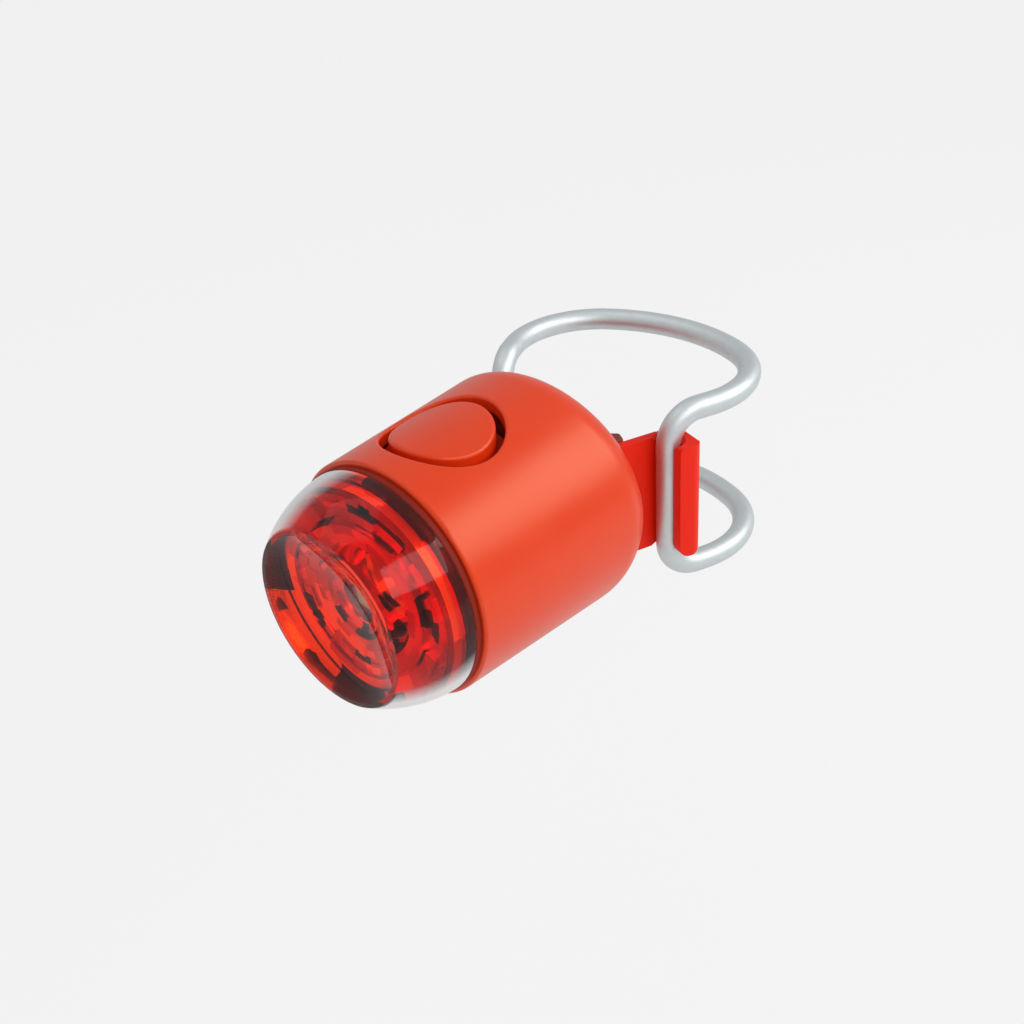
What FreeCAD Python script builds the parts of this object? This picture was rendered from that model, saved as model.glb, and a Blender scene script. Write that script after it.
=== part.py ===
import FreeCAD, Part
import math
import os
from FreeCAD import Vector

# Bicycle tail light: a silicone-covered lamp with a solid clear lens over a red stepped core,
# a press button on its top, and two rubber straps whose hooks hold a closed wire bail round
# the seat post.
# Millimetres. The origin is on the seat post's axis, at the middle height of straps and bail.
# +Z is up, and the lens faces -Y.

# Seat post and the lamp's place in front of it
post_diameter = 27.2
body_length = 29.5
saddle_stand_off = 1.8
lamp_rise = 1.3

# Silicone cover
front_diameter = 31.0
body_draft_deg = 3.0
cover_wall = 1.5
cover_rear_edge = 5.4
cover_front_edge = 0.4
cover_hole_edge = 0.35
rear_hollow_radius = 36.0
skin_gap = 0.05
window_gap = 0.3
window_corner = 0.8

# Inner housing
housing_wall = 1.35
housing_rear_wall = 1.5
housing_rear_edge = 3.8
housing_front_gap = 0.1
screw_boss_diameter = 4.2
screw_boss_length = 2.8

# Front lens
lens_length = 9.7
lens_inset = 0.67
lens_shoulder_step = 1.03
lens_shoulder_set = 5.4
lens_rim_step = 3.43
lens_rim_width = 0.6
lens_dish_depth = 2.9
lens_foot_width = 0.4
lens_bond = 0.05
seal_width = 1.0
seal_recess = 0.55
seal_edge = 0.2
seal_gap = 0.02

# Red core with its bowl, rings and plug skirt, the optic and the light board
led_board_thickness = 1.0
led_board_gap = 0.1
led_size = 2.8
led_height = 0.9
optic_diameter = 6.4
optic_height = 3.6
optic_gap = 0.4
optic_recess_diameter = 4.2
optic_recess_depth = 1.3
core_set_back = 4.2
core_wall = 1.2
core_slant = 0.2
throat_diameter = 7.2
throat_wall = 1.4
bowl_diameter = 11.4
bowl_steps = 3
bowl_step_land = 0.5
inner_ring_diameter = 13.6
outer_ring_diameter = 24.6
outer_ring_width = 1.0
ring_groove_depth = 0.9
core_flange_thickness = 0.6
skirt_length = 5.6
skirt_wall = 1.0
skirt_gap = 0.1

# Board carrier
bulkhead_gap = 0.3
bulkhead_thickness = 1.0
bulkhead_flat_gap = 0.2
tray_wall = 0.9
post_hole_diameter = 1.3
carrier_post_diameter = 2.6
carrier_post_gap = 0.1
carrier_post_inset = 2.1
tray_corner_gap = 0.4

# Main board and what stands on it
board_height = 2.4
board_thickness = 1.0
board_edge_gap = 1.4
board_end_gap = 0.3
board_gap = 0.1
tact_width = 4.5
tact_height = 2.0
actuator_diameter = 2.0
actuator_length = 1.6
actuator_stand_out = 0.7
connector_width = 6.0
connector_length = 1.8
connector_height = 2.0
chip_size = 3.0
chip_height = 0.9
inductor_size = 3.0
inductor_height = 1.5
inductor_gap = 1.5
status_led_size = 1.4
status_led_height = 0.6
board_screw_head_diameter = 2.5
board_screw_head_height = 0.7
board_screw_length = 3.2

# Charging socket and its flap
socket_width = 7.5
socket_depth = 5.5
socket_height = 2.5
socket_wall = 0.3
socket_tongue = 0.6
socket_screw_gap = 0.2
socket_side_gap = 0.13
socket_window_gap = 0.3
flap_width = 8.9
flap_height = 4.95
flap_bottom = 2.1
flap_side_gap = 0.2
flap_low_gap = 0.2
flap_top_gap = 0.35
flap_corner = 1.2
flap_plug_depth = 1.6
flap_hinge_low = 0.4
flap_hinge_in = 0.15

# Battery
cell_end_gap = 0.7
cell_thickness = 6.6
cell_set = 0.6
cell_side_gap = 0.4
foam_gap = 0.1
cell_corner = 1.0
foam_thickness = 2.2
lead_diameter = 0.8
lead_spacing = 5.0
lead_height = 2.6
lead_run = 1.6
lead_bend = 1.0

# Power button
button_set = 11.0
button_hole_diameter = 14.9
button_gap = 1.1
button_sunk = 0.1
button_edge = 0.5
button_travel = 0.4
button_travel_gap = 0.15
button_flange_width = 1.3
button_flange_height = 0.65
button_flange_gap = 0.29
recess_gap = 0.3
deck_thickness = 1.2
deck_wall = 0.8
plunger_head_diameter = 9.8
plunger_head_height = 2.4
plunger_stem_diameter = 4.6
plunger_hole_gap = 0.15
plunger_fit = 0.1
plunger_seal_section = 0.8
stem_seal_gap = 0.06
press_gap = 0.02

# Rear saddle, clamp plate and screws
saddle_thickness = 1.5
saddle_overhang = 0.3
saddle_side_gap = 0.2
saddle_reach_deg = 38.5
saddle_edge = 0.8
saddle_corner = 0.7
saddle_rounding = 0.5
plate_thickness = 1.6
plate_inset = 0.5
rear_screw_spacing = 10.8
rear_screw_shank = 2.0
rear_screw_head = 3.8
rear_screw_head_height = 0.9
rear_screw_length = 5.5
screw_gap = 0.1
drive_depth = 0.4
drive_width = 0.5

# Straps with their hooks
strap_thickness = 1.3
strap_height = 16.4
strap_flare_deg = 21.6
strap_foot_thickness = 1.1
strap_foot_inner = 3.2
hook_set_back = 2.55
hook_fit = 0.1
hook_lip = 1.5
hook_end = 1.9
hook_end_corner = 1.8
hook_heel_corner = 1.0
strap_seat = 0.25
hook_lip_start = 0.2
hook_low_corner = 1.8
hook_high_corner = 0.6
hook_flare = 0.6

# Wire bail
wire_diameter = 3.1
bail_rise = 3.5
bail_bend_radius = 4.4
bail_splay_deg = 22.8
bail_corner_radius = 11.9
bail_back_radius = 24.2
bail_back_gap = 0.05

# Places that follow from the sizes
post_r = post_diameter / 2
saddle_y = -post_r
rear_y = saddle_y - saddle_stand_off
rim_y = rear_y - body_length
hollow_y = rear_y + rear_hollow_radius
draft = math.tan(math.radians(body_draft_deg))
bore_r = front_diameter / 2 - cover_wall - skin_gap - housing_wall
saddle_base_y = saddle_y - saddle_thickness
plate_base_y = saddle_base_y - plate_thickness
housing_rear_y = plate_base_y - strap_foot_thickness
housing_inner_y = housing_rear_y - housing_rear_wall
lens_base_y = rim_y - seal_width
lens_base_r = front_diameter / 2 - lens_inset
bulkhead_diameter = (bore_r - bulkhead_gap) * 2
core_front_y = rim_y - lens_length + lens_dish_depth + core_set_back
skirt_end_y = lens_base_y + skirt_length
led_board_y = skirt_end_y + led_board_gap
throat_r = throat_diameter / 2
bowl_floor_y = led_board_y - optic_height - optic_gap
groove_y = core_front_y + ring_groove_depth
flange_front_y = lens_base_y - core_flange_thickness
core_flange_r = lens_base_r - lens_foot_width - lens_bond
bulkhead_y = led_board_y + led_board_thickness
tray_y = bulkhead_y + bulkhead_thickness
tray_depth = cell_thickness + foam_thickness + foam_gap + tray_wall - board_height
tray_width = math.sqrt((bore_r - tray_corner_gap) ** 2 - tray_depth ** 2) * 2
cell_width = tray_width - (cell_side_gap + tray_wall) * 2
tray_end_y = housing_inner_y - screw_boss_length - board_gap
carrier_post_side = tray_width / 2 - tray_wall - carrier_post_diameter / 2 - carrier_post_gap
carrier_post_y = tray_end_y - carrier_post_inset
socket_y = carrier_post_y - board_screw_head_diameter / 2 - socket_screw_gap - socket_width / 2
cell_y = tray_y + cell_set
cell_end_y = carrier_post_y - carrier_post_diameter / 2 - cell_end_gap
board_y = tray_y + board_gap
board_end_y = tray_end_y - board_end_gap
board_width = (bore_r - board_edge_gap) * 2
board_top = board_height + board_thickness
button_y = rim_y + button_set
button_hole_r = button_hole_diameter / 2
button_r = button_hole_r - button_gap
flange_r = button_r + button_flange_width
cover_inner_r = front_diameter / 2 + button_set * draft - cover_wall
flange_top = math.sqrt(cover_inner_r ** 2 - flange_r ** 2) - button_flange_gap
flange_z = flange_top - button_flange_height
recess_floor = flange_z - button_travel - button_travel_gap
plunger_z = flange_z + plunger_head_height
stem_r = plunger_stem_diameter / 2
tact_top = board_top + tact_height
actuator_top = tact_top + actuator_stand_out
socket_reach = math.sqrt(bore_r ** 2 - (board_top + socket_height) ** 2) - socket_side_gap
well_r = flange_r + recess_gap + deck_wall
flat_z = recess_floor - deck_thickness - bulkhead_flat_gap
wire_r = wire_diameter / 2
saddle_height = strap_height + saddle_overhang * 2
plate_height = strap_height - plate_inset * 2
bail_spread = strap_height + bail_rise * 2
flare = math.radians(strap_flare_deg)
hook_r = wire_r + hook_fit
hook_out_r = post_r - strap_seat + strap_thickness + hook_r


def outer_r(y):
    """Radius of the cover's outside at the place y on the lamp's axis."""
    return front_diameter / 2 + (y - rim_y) * draft


def save(shape, name):
    """Writes one piece that is placed in the mount's frame."""
    shape.exportStep("parts/" + name + ".step")


def save_lamp(shape, name):
    """Writes one piece that was built round the lamp's own axis."""
    placed = shape.copy()
    placed.translate(Vector(0, 0, lamp_rise))
    save(placed, name)


def block(x0, x1, y0, y1, z0, z1):
    """A box between two corners."""
    return Part.makeBox(x1 - x0, y1 - y0, z1 - z0, Vector(x0, y0, z0))


def disc_y(radius, y0, y1, x=0.0, z=0.0):
    """A round bar along Y."""
    return Part.makeCylinder(radius, y1 - y0, Vector(x, y0, z), Vector(0, 1, 0))


def disc_z(radius, z0, z1, x=0.0, y=0.0):
    """A round bar along Z."""
    return Part.makeCylinder(radius, z1 - z0, Vector(x, y, z0), Vector(0, 0, 1))


def at(r, y):
    """A point of a turned profile: radius r at the place y on the lamp's axis."""
    return Vector(r, y, 0)


def line(a, b):
    """A straight edge."""
    return Part.LineSegment(a, b).toShape()


def arc(a, middle, b):
    """A round edge through three points."""
    return Part.Arc(a, middle, b).toShape()


def dome(r, edge_y, crown_y):
    """A profile's round edge from radius r to the axis, whose centre is on the axis."""
    rise = crown_y - edge_y
    radius = (r * r + rise * rise) / (2 * rise)
    middle_r = r / 2
    middle_y = crown_y - radius + math.copysign(math.sqrt(radius * radius - middle_r * middle_r), radius)
    return arc(at(r, edge_y), at(middle_r, middle_y), at(0, crown_y))


def turned(edges):
    """The solid that a closed profile makes when it is turned about the lamp's axis."""
    face = Part.Face(Part.Wire(Part.__sortEdges__(edges)))
    return face.revolve(Vector(0, 0, 0), Vector(0, 1, 0), 360)


def polygon(points):
    """The edges of a closed outline."""
    return [line(points[i - 1], points[i]) for i in range(len(points))]


def straight_edges(shape, direction):
    """The straight edges of a shape that run along a direction."""
    found = []
    for edge in shape.Edges:
        if len(edge.Vertexes) == 2 and isinstance(edge.Curve, Part.Line):
            run = edge.Vertexes[1].Point - edge.Vertexes[0].Point
            if run.cross(direction).Length < 1e-6 * run.Length:
                found.append(edge)
    return found


def edges_on_plane(shape, origin, normal):
    """The edges of a shape that lie in one plane."""
    found = []
    for edge in shape.Edges:
        points = edge.discretize(5)
        if all(abs((p - origin).dot(normal)) < 1e-5 for p in points):
            found.append(edge)
    return found


def cone_y(front_y, back_y, inset):
    """A cone that follows the cover's outside at an inset, with its seam underneath."""
    front_r = outer_r(front_y) - inset
    back_r = outer_r(back_y) - inset
    body = Part.makeCone(front_r, back_r, back_y - front_y, Vector(0, front_y, 0), Vector(0, 1, 0))
    body.rotate(Vector(0, 0, 0), Vector(0, 1, 0), 180)
    return body


def coned(front_y, back_y, inset, back_edge):
    """The same cone with a rounded rear end."""
    body = cone_y(front_y, back_y, inset)
    return body.makeFillet(back_edge, edges_on_plane(body, Vector(0, back_y, 0), Vector(0, 1, 0)))


def edges_on_hollow(shape):
    """The edges round the hollow of the cover's rear face."""
    found = []
    for edge in shape.Edges:
        points = edge.discretize(9)
        if all(abs(math.hypot(p.x, p.y - hollow_y) - rear_hollow_radius) < 1e-3 for p in points):
            found.append(edge)
    return found


def edges_round_button(shape, radius, low):
    """The edges on a round wall about the button's axis, above a height."""
    found = []
    for edge in shape.Edges:
        points = edge.discretize(9)
        if all(p.z > low and abs(math.hypot(p.x, p.y - button_y) - radius) < 1e-3 for p in points):
            found.append(edge)
    return found


def rounded_block(x0, x1, y0, y1, z0, z1, direction, radius):
    """A box whose edges along one direction are rounded."""
    body = block(x0, x1, y0, y1, z0, z1)
    return body.makeFillet(radius, straight_edges(body, direction))


def mirrored(shape):
    """The same piece on the other side of the lamp."""
    return shape.mirror(Vector(0, 0, 0), Vector(1, 0, 0))


def screw(head_r, head_height, shank_r, length):
    """A cross-head screw along +Z, the seat of its head at z = 0 and its tip at z = length."""
    head = disc_z(head_r, -head_height, 0)
    shank = disc_z(shank_r, 0, length - shank_r)
    tip = Part.makeCone(shank_r, shank_r * 0.3, shank_r, Vector(0, 0, length - shank_r))
    slot = block(-head_r * 0.6, head_r * 0.6, -drive_width / 2, drive_width / 2,
                 -head_height, drive_depth - head_height)
    cross = slot.copy()
    cross.rotate(Vector(0, 0, 0), Vector(0, 0, 1), 90)
    return head.fuse([shank, tip]).removeSplitter().cut(slot).cut(cross)


# Hook frame: the strap runs along hook_along, and hook_out points away from the post
hook_along = Vector(math.sin(flare), math.cos(flare), 0)
hook_out = Vector(math.cos(flare), -math.sin(flare), 0)
wire_point = hook_out * hook_out_r - hook_along * hook_set_back


def strap_point(out, along):
    """A point in plan, measured from the bail's wire: away from the post, and along the strap."""
    return wire_point + hook_out * out + hook_along * along


def strap_face_x(out, y):
    """Where a face of the strap, at a distance out from the wire, crosses the place y."""
    start = strap_point(out, 0)
    return start.x + (y - start.y) * math.tan(flare)


strap_inner = -(hook_r + strap_thickness)


def make_strap():
    """The right strap: its foot, its band and the hook round the bail's wire."""
    half = strap_height / 2
    outer_foot = Vector(strap_face_x(-hook_r, housing_rear_y), housing_rear_y, 0)
    inner_heel = Vector(strap_face_x(strap_inner, plate_base_y), plate_base_y, 0)
    band = polygon([
        Vector(strap_foot_inner, housing_rear_y, 0),
        outer_foot,
        strap_point(-hook_r, 0),
        strap_point(strap_inner, 0),
        inner_heel,
        Vector(strap_foot_inner, plate_base_y, 0),
    ])
    body = Part.Face(Part.Wire(band)).extrude(Vector(0, 0, strap_height))
    lip_out = hook_r + hook_lip
    end = hook_r + hook_end
    knob = block(strap_inner, lip_out, -hook_lip_start, end, 0, strap_height)
    far = [e for e in straight_edges(knob, Vector(0, 0, 1)) if e.CenterOfMass.y > 0]
    knob = knob.makeFillet(hook_end_corner, [e for e in far if e.CenterOfMass.x > 0])
    knob = knob.makeFillet(hook_heel_corner, [e for e in far if e.CenterOfMass.x < 0])
    # The lip's lower end is round, and its upper end only has soft corners
    middle = strap_height / 2
    for low, high, corner in ((0, middle, hook_low_corner), (middle, strap_height, hook_high_corner)):
        cutter = block(strap_inner, lip_out, -hook_lip_start, end, low, high)
        ends = [e for e in straight_edges(cutter, Vector(1, 0, 0)) if abs(e.CenterOfMass.z - middle) > 1]
        knob = knob.cut(cutter.cut(cutter.makeFillet(corner, ends)))
    knob.rotate(Vector(0, 0, 0), Vector(0, 0, 1), -strap_flare_deg)
    knob.translate(wire_point)
    body = body.fuse(knob)
    slot = polygon([
        strap_point(-hook_r, -hook_set_back - strap_height),
        strap_point(hook_r, -hook_set_back - strap_height),
        strap_point(hook_r, 0),
        strap_point(-hook_r, 0),
    ])
    slot = Part.Face(Part.Wire(slot)).extrude(Vector(0, 0, strap_height))
    slot = slot.fuse(disc_z(hook_r, 0, strap_height, wire_point.x, wire_point.y))
    body = body.cut(slot)
    for z, way in ((0.0, 1), (strap_height, -1)):
        mouth = Part.makeCone(hook_r + hook_flare, hook_r, hook_flare,
                              Vector(wire_point.x, wire_point.y, z), Vector(0, 0, way))
        body = body.cut(mouth)
    # The post presses a shallow hollow into the band's inner face
    body = body.cut(disc_z(post_r, -1.0, strap_height + 1.0))
    body.translate(Vector(0, 0, -half))
    return body.removeSplitter()


def make_bail():
    """The closed wire: two upright runs in the hooks, and a hoop above and below."""
    splay = math.radians(bail_splay_deg)
    side = Vector(math.sin(splay), math.cos(splay), 0)
    inward = Vector(-math.cos(splay), math.sin(splay), 0)
    half = bail_spread / 2
    bend = bail_bend_radius
    run = Vector(wire_point.x, wire_point.y, 0)
    back = Vector(0, post_r + bail_back_gap + wire_r, 0)
    centre = back - Vector(0, bail_back_radius, 0)
    # The corner's centre lies at its radius inside the side, and inside the back arc
    start = run + inward * bail_corner_radius - centre
    along = start.dot(side)
    apart = start.dot(start) - (bail_back_radius - bail_corner_radius) ** 2
    corner = run + inward * bail_corner_radius + side * (math.sqrt(along * along - apart) - along)
    side_end = corner - inward * bail_corner_radius
    outward = (corner - centre).normalize()
    corner_end = corner + outward * bail_corner_radius
    turn = (outward - inward).normalize()
    corner_middle = corner + turn * bail_corner_radius
    back_turn = (outward + Vector(0, 1, 0)).normalize()
    back_middle = centre + back_turn * bail_back_radius

    def lifted(point, z):
        return Vector(point.x, point.y, z)

    path = []
    for sign in (1, -1):
        z = half * sign
        low = run + side * bend * (1 - math.cos(math.radians(45)))
        low_z = (half - bend + bend * math.sin(math.radians(45))) * sign
        edges = [
            arc(lifted(back, z), lifted(back_middle, z), lifted(corner_end, z)),
            arc(lifted(corner_end, z), lifted(corner_middle, z), lifted(side_end, z)),
            line(lifted(side_end, z), lifted(run + side * bend, z)),
            arc(lifted(run + side * bend, z), lifted(low, low_z), lifted(run, (half - bend) * sign)),
        ]
        path.append(edges)
    upright = line(lifted(run, half - bend), lifted(run, bend - half))
    wire = Part.Wire(path[0] + [upright] + path[1][::-1])
    section = Part.Wire(Part.makeCircle(wire_r, lifted(back, half), Vector(1, 0, 0)))
    tube = wire.makePipeShell([section], True, False)
    expected = math.pi * wire_r ** 2 * wire.Length
    print("half bail: volume %.2f, section times length %.2f" % (tube.Volume, expected))
    return tube.fuse(mirrored(tube)).removeSplitter()


def make_cover():
    """The silicone skin with its button hole, flap window and rear window."""
    body = cone_y(rim_y, rear_y + front_diameter / 6, 0.0)
    body = body.cut(disc_z(rear_hollow_radius, -front_diameter, front_diameter, 0, hollow_y))
    body = body.makeFillet(cover_rear_edge, edges_on_hollow(body))
    body = body.makeFillet(cover_front_edge, edges_on_plane(body, Vector(0, rim_y, 0), Vector(0, 1, 0)))
    inside = coned(rim_y - 1.0, housing_rear_y, cover_wall, housing_rear_edge + skin_gap)
    body = body.cut(inside)
    hole = disc_z(button_hole_r, 0, front_diameter, 0, button_y)
    body = body.cut(hole)
    outer_rim = [e for e in edges_round_button(body, button_hole_r, 0.0)
                 if max(math.hypot(p.x, p.z) - outer_r(p.y) for p in e.discretize(9)) > -0.1]
    body = body.makeFillet(cover_hole_edge, outer_rim)
    body = body.cut(flap_shape(-flap_side_gap, -flap_low_gap, -flap_top_gap).common(half_space(-1)))
    window_z = saddle_height / 2 + window_gap
    front_x = strap_face_x(-hook_r + window_gap, housing_rear_y)
    back_x = strap_face_x(-hook_r + window_gap, saddle_y)
    window = polygon([
        Vector(-front_x, housing_rear_y, -window_z - lamp_rise),
        Vector(front_x, housing_rear_y, -window_z - lamp_rise),
        Vector(back_x, saddle_y, -window_z - lamp_rise),
        Vector(-back_x, saddle_y, -window_z - lamp_rise),
    ])
    window = Part.Face(Part.Wire(window)).extrude(Vector(0, 0, window_z * 2))
    slanted = straight_edges(window, hook_along)
    slanted += straight_edges(window, Vector(-hook_along.x, hook_along.y, 0))
    return body.cut(window.makeFillet(window_corner, slanted))


def half_space(sign):
    """A box that holds everything on one side of the lamp."""
    size = front_diameter * 2
    x0 = 0.0 if sign > 0 else -size
    return block(x0, x0 + size, rim_y - size, rear_y + size, -size, size)


def flap_shape(side_shrink, low_shrink, top_shrink):
    """The flap's block through the side of the cover; a negative shrink makes it a window."""
    return rounded_block(-front_diameter, 0, socket_y - flap_width / 2 + side_shrink,
                         socket_y + flap_width / 2 - side_shrink, flap_bottom + low_shrink,
                         flap_bottom + flap_height - top_shrink, Vector(1, 0, 0), flap_corner)


def make_housing():
    """The hard capsule inside the cover, open at its front."""
    front_y = lens_base_y + housing_front_gap
    inset = cover_wall + skin_gap
    body = coned(front_y, housing_rear_y, inset, housing_rear_edge)
    envelope = body.copy()
    body = body.cut(disc_y(bore_r, front_y - 1.0, housing_inner_y))
    deck = disc_z(well_r, recess_floor - deck_thickness, front_diameter, 0, button_y)
    body = body.fuse(deck.common(envelope))
    body = body.cut(disc_z(flange_r + recess_gap, recess_floor, front_diameter, 0, button_y))
    body = body.cut(disc_z(stem_r + plunger_hole_gap, 0, front_diameter, 0, button_y))
    groove_r = stem_r + stem_seal_gap + plunger_seal_section + seal_gap * 2
    groove_z = recess_floor - deck_thickness / 2
    groove_half = plunger_seal_section / 2 + seal_gap * 2
    body = body.cut(disc_z(groove_r, groove_z - groove_half, groove_z + groove_half, 0, button_y))
    for z in (rear_screw_spacing / 2, -rear_screw_spacing / 2):
        boss_y = housing_inner_y - screw_boss_length
        boss = disc_y(screw_boss_diameter / 2, boss_y, housing_inner_y + 0.1, 0, z - lamp_rise)
        body = body.fuse(boss.common(envelope))
    for z in (rear_screw_spacing / 2, -rear_screw_spacing / 2):
        depth = saddle_base_y - rear_screw_head_height - rear_screw_length - screw_gap
        body = body.cut(disc_y(rear_screw_shank / 2, depth, housing_rear_y + 1.0, 0, z - lamp_rise))
    gap = socket_window_gap
    half = socket_width / 2 + gap
    window = block(-front_diameter, -bore_r / 2, socket_y - half, socket_y + half,
                   board_top - gap, board_top + socket_height + gap)
    return body.cut(window).removeSplitter()


def core_front(grow):
    """The core's front from the throat to the flange, moved towards the lens by a distance."""
    rise = (bowl_floor_y - core_front_y) / bowl_steps
    spread = (bowl_diameter / 2 - throat_r) / bowl_steps
    inner_ring_r = inner_ring_diameter / 2
    outer_ring_r = outer_ring_diameter / 2
    groove_end_r = outer_ring_r - outer_ring_width
    points = [at(throat_r - grow, bowl_floor_y - grow)]
    for k in range(1, bowl_steps + 1):
        step_r = throat_r + spread * k - grow
        step_y = bowl_floor_y - rise * k - grow
        points.append(at(step_r - bowl_step_land, step_y))
        points.append(at(step_r, step_y))
    # The last step runs on as the inner ring
    points.pop()
    return points + [
        at(inner_ring_r + grow, core_front_y - grow),
        at(inner_ring_r + core_slant + grow, groove_y - grow),
        at(groove_end_r - core_slant - grow, groove_y - grow),
        at(groove_end_r - grow, core_front_y - grow),
        at(outer_ring_r + grow, core_front_y - grow),
        at(outer_ring_r + core_slant + grow, flange_front_y - grow),
        at(core_flange_r + grow, flange_front_y - grow),
    ]


def make_lens():
    """The solid clear lens: a dished front, a rounded side, and a back that fits the core."""
    front_y = rim_y - lens_length
    rim_r = lens_base_r - lens_rim_step
    shoulder_r = lens_base_r - lens_shoulder_step
    shoulder_y = rim_y - lens_shoulder_set
    dish_r = rim_r - lens_rim_width
    dish_y = front_y + lens_dish_depth
    back = core_front(lens_bond)
    foot_r = back[-1].x
    edges = [line(back[i], back[i + 1]) for i in range(len(back) - 1)]
    edges.extend([
        line(at(0, dish_y), at(0, back[0].y)),
        line(at(0, back[0].y), back[0]),
        line(back[-1], at(foot_r, lens_base_y)),
        line(at(foot_r, lens_base_y), at(lens_base_r, lens_base_y)),
        arc(at(lens_base_r, lens_base_y), at(shoulder_r, shoulder_y), at(rim_r, front_y)),
        line(at(rim_r, front_y), at(dish_r, front_y)),
        dome(dish_r, front_y, dish_y),
    ])
    return turned(edges)


def make_lens_seal():
    """The rubber gasket round the housing's mouth, between the lens and the cover."""
    outer = front_diameter / 2 - seal_recess
    inner = outer_r(rim_y) - cover_wall - skin_gap + seal_gap
    front_y = lens_base_y + seal_gap
    back_y = rim_y - seal_gap
    ring = disc_y(outer, front_y, back_y)
    for y in (front_y, back_y):
        ring = ring.makeFillet(seal_edge, edges_on_plane(ring, Vector(0, y, 0), Vector(0, 1, 0)))
    return ring.cut(disc_y(inner, front_y - 1.0, back_y + 1.0))


def make_reflector():
    """The red core behind the lens, with the skirt that plugs into the housing."""
    skirt_r = bore_r - skirt_gap
    roof_y = groove_y + core_wall
    points = core_front(0.0) + [
        at(core_flange_r, lens_base_y),
        at(skirt_r, lens_base_y),
        at(skirt_r, skirt_end_y),
        at(skirt_r - skirt_wall, skirt_end_y),
        at(skirt_r - skirt_wall, roof_y),
        at(inner_ring_diameter / 2 + core_wall, roof_y),
        at(throat_r + throat_wall, led_board_y),
        at(throat_r, led_board_y),
    ]
    body = turned(polygon(points))
    # The skirt is notched over the button's well
    notch_y = button_y - well_r - bulkhead_flat_gap
    return body.cut(block(-bore_r, bore_r, notch_y, skirt_end_y + 1.0, flat_z, bore_r))


def make_optic():
    """The clear bullet that stands over the light chip."""
    r = optic_diameter / 2
    top = led_board_y - optic_height
    edges = [
        line(at(0, led_board_y), at(r, led_board_y)),
        line(at(r, led_board_y), at(r, top + r)),
        arc(at(r, top + r), at(r * math.sqrt(0.5), top + r - r * math.sqrt(0.5)), at(0, top)),
        line(at(0, top), at(0, led_board_y)),
    ]
    recess = disc_y(optic_recess_diameter / 2, led_board_y - optic_recess_depth, led_board_y)
    return turned(edges).cut(recess)


def keyed_disc(y0, y1):
    """A disc across the housing's bore, with a flat on top that clears the button's well."""
    size = bulkhead_diameter
    return disc_y(size / 2, y0, y1).common(block(-size, size, y0 - 1.0, y1 + 1.0, -size, flat_z))


def make_carrier():
    """The plastic frame that holds the light board, the main board and the battery."""
    body = keyed_disc(bulkhead_y, tray_y)
    half = tray_width / 2
    tray = block(-half, half, tray_y, tray_end_y, -tray_depth, board_height)
    tray = tray.cut(block(tray_wall - half, half - tray_wall, tray_y, tray_end_y - tray_wall,
                          tray_wall - tray_depth, board_height + 1.0))
    body = body.fuse(tray)
    for side in (carrier_post_side, -carrier_post_side):
        stand = disc_z(carrier_post_diameter / 2, -tray_depth, board_height, side, carrier_post_y)
        body = body.fuse(stand)
    gap = screw_gap * 2
    half = connector_width / 2 + gap
    body = body.cut(block(-half, half, bulkhead_y - 1.0, tray_y + 1.0,
                          board_top - gap, board_top + connector_height + gap))
    for side in (carrier_post_side, -carrier_post_side):
        hole_z = board_top - board_screw_length - screw_gap
        body = body.cut(disc_z(post_hole_diameter / 2, hole_z, board_height + 1.0, side, carrier_post_y))
    return body.removeSplitter()


def make_board():
    """The main circuit board with its two screw holes."""
    half = board_width / 2
    body = rounded_block(-half, half, board_y, board_end_y, board_height, board_top,
                         Vector(0, 0, 1), 1.0)
    for side in (carrier_post_side, -carrier_post_side):
        body = body.cut(disc_z(post_hole_diameter / 2 + screw_gap, board_height - 1.0, board_top + 1.0,
                               side, carrier_post_y))
    return body


def make_board_screws():
    """The two screws that hold the main board."""
    screws = []
    for side in (carrier_post_side, -carrier_post_side):
        one = screw(board_screw_head_diameter / 2, board_screw_head_height,
                    post_hole_diameter / 2, board_screw_length)
        one.rotate(Vector(0, 0, 0), Vector(1, 0, 0), 180)
        one.translate(Vector(side, carrier_post_y, board_top))
        screws.append(one)
    return Part.makeCompound(screws)


def make_tact():
    """The small switch under the button, with the bore for its actuator."""
    half = tact_width / 2
    body = rounded_block(-half, half, button_y - half, button_y + half, board_top, tact_top,
                         Vector(0, 0, 1), 0.5)
    bore_z = actuator_top - actuator_length - button_travel - screw_gap
    bore = disc_z(actuator_diameter / 2 + stem_seal_gap, bore_z, tact_top + 1.0, 0, button_y)
    return body.cut(bore)


def on_board(size_x, size_y, height, x, y):
    """A chip or coil that stands on the main board."""
    return block(x - size_x / 2, x + size_x / 2, y - size_y / 2, y + size_y / 2,
                 board_top, board_top + height)


def make_chips():
    """The charging and flashing chips."""
    first = on_board(chip_size, chip_size, chip_height, board_width / 4, board_y + chip_size)
    second = on_board(chip_size, chip_size, chip_height, board_width / 4, button_y + chip_size * 1.4)
    return Part.makeCompound([first, second])


def make_socket():
    """The charging socket: a metal shell with its tongue."""
    y0 = socket_y - socket_width / 2
    y1 = socket_y + socket_width / 2
    z1 = board_top + socket_height
    back = -socket_reach + socket_depth
    body = block(-socket_reach, back, y0, y1, board_top, z1)
    mouth = block(-socket_reach, back - socket_wall, y0 + socket_wall, y1 - socket_wall,
                  board_top + socket_wall, z1 - socket_wall)
    mouth = mouth.makeFillet(socket_wall, straight_edges(mouth, Vector(1, 0, 0)))
    middle = board_top + socket_height / 2
    tongue = block(-socket_reach + socket_wall * 2, back - socket_wall,
                   y0 + socket_wall * 5, y1 - socket_wall * 5,
                   middle - socket_tongue / 2, middle + socket_tongue / 2)
    return body.cut(mouth).fuse(tongue)


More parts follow.
